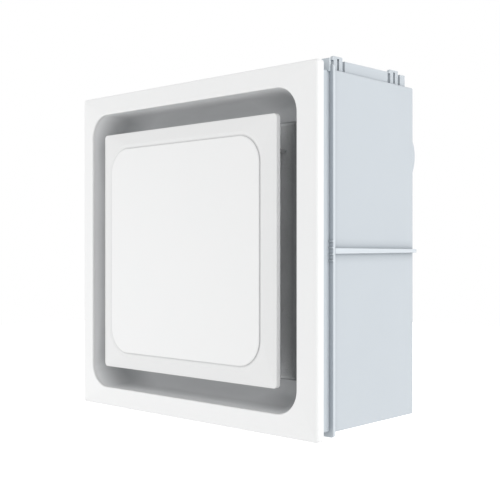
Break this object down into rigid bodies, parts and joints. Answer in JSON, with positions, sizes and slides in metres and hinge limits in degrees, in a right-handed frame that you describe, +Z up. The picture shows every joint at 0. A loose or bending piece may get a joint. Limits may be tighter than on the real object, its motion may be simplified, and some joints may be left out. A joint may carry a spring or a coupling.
{
  "type": "radial duct fan",
  "caption": "Flush-mounted radial duct fan for one room: plastic wall box with duct spigot and flap, volute with impeller, and a white pull-off cover with a floating front panel.",
  "frame": {"origin": "centre of the wall box's back wall, on its outer face, at the middle of the four wall fixings", "axes": "+X to the right seen from the room, +Y into the wall along the duct, +Z up"},
  "size_m": [0.26, 0.1681, 0.266],
  "materials": {
    "white_abs": "white moulded ABS with a fine satin grain",
    "grey_abs": "mid grey moulded ABS, matte",
    "pale_box_plastic": "pale blue-grey moulded plastic, satin",
    "insert_plastic": "light grey moulded plastic",
    "impeller_plastic": "black glass-filled plastic",
    "terminal_plastic": "off-white terminal plastic",
    "filter_fleece": "white filter fleece",
    "black_rubber": "black moulded rubber",
    "zinc_steel": "bright zinc-plated steel",
    "spring_steel": "polished spring steel",
    "lamination_steel": "stacked electrical steel",
    "motor_paint": "dark painted steel can",
    "die_cast": "die-cast aluminium",
    "sinter_bronze": "oil-soaked sintered bronze",
    "copper_wire": "enamelled copper winding",
    "board_green": "green circuit board"
  },
  "bodies": {
    "housing": {"wall_box": "pale_box_plastic", "plaster_collar": "pale_box_plastic", "duct_spigot": "pale_box_plastic", "spigot_gasket": "black_rubber", "spigot_screws": "zinc_steel", "scroll_case": "insert_plastic", "inlet_plate": "insert_plastic", "scroll_screws": "zinc_steel", "insert_screws": "zinc_steel", "motor_can": "motor_paint", "motor_end_cap": "die_cast", "front_bearing": "sinter_bronze", "rear_bearing": "sinter_bronze", "stator_core": "lamination_steel", "stator_windings": "copper_wire", "motor_bracket": "zinc_steel", "motor_mounts": "black_rubber", "mount_screws": "zinc_steel", "motor_screws": "zinc_steel", "control_case": "insert_plastic", "control_lid": "insert_plastic", "control_board": "board_green", "terminal_block": "terminal_plastic", "terminal_screws": "zinc_steel", "terminal_cover": "terminal_plastic", "cable_grommet": "black_rubber"},
    "rotor": {"impeller": "impeller_plastic", "impeller_clip": "spring_steel", "motor_shaft": "spring_steel", "rotor_core": "lamination_steel"},
    "flap": {"backdraft_flap": "pale_box_plastic", "flap_shaft": "spring_steel"},
    "cover": {"cover_frame": "white_abs", "intake_dish": "grey_abs", "dish_washers": "zinc_steel", "front_panel": "white_abs", "filter_grid": "grey_abs", "filter_mat": "filter_fleece", "filter_tray": "grey_abs", "cover_clips": "spring_steel"}
  },
  "joints": [
    {"name": "impeller_spin", "type": "hinge", "parent": "housing", "child": "rotor", "pos_m": [-0.012, -0.05, -0.014], "axis": [0, -1, 0], "continuous": true},
    {"name": "flap_swing", "type": "hinge", "parent": "housing", "child": "flap", "pos_m": [0.062, -0.0105, 0.082], "axis": [1, 0, 0], "range_deg": [0, 75]},
    {"name": "cover_pull", "type": "slide", "parent": "housing", "child": "cover", "axis": [0, -1, 0], "range_m": [0, 0.06]}
  ]
}
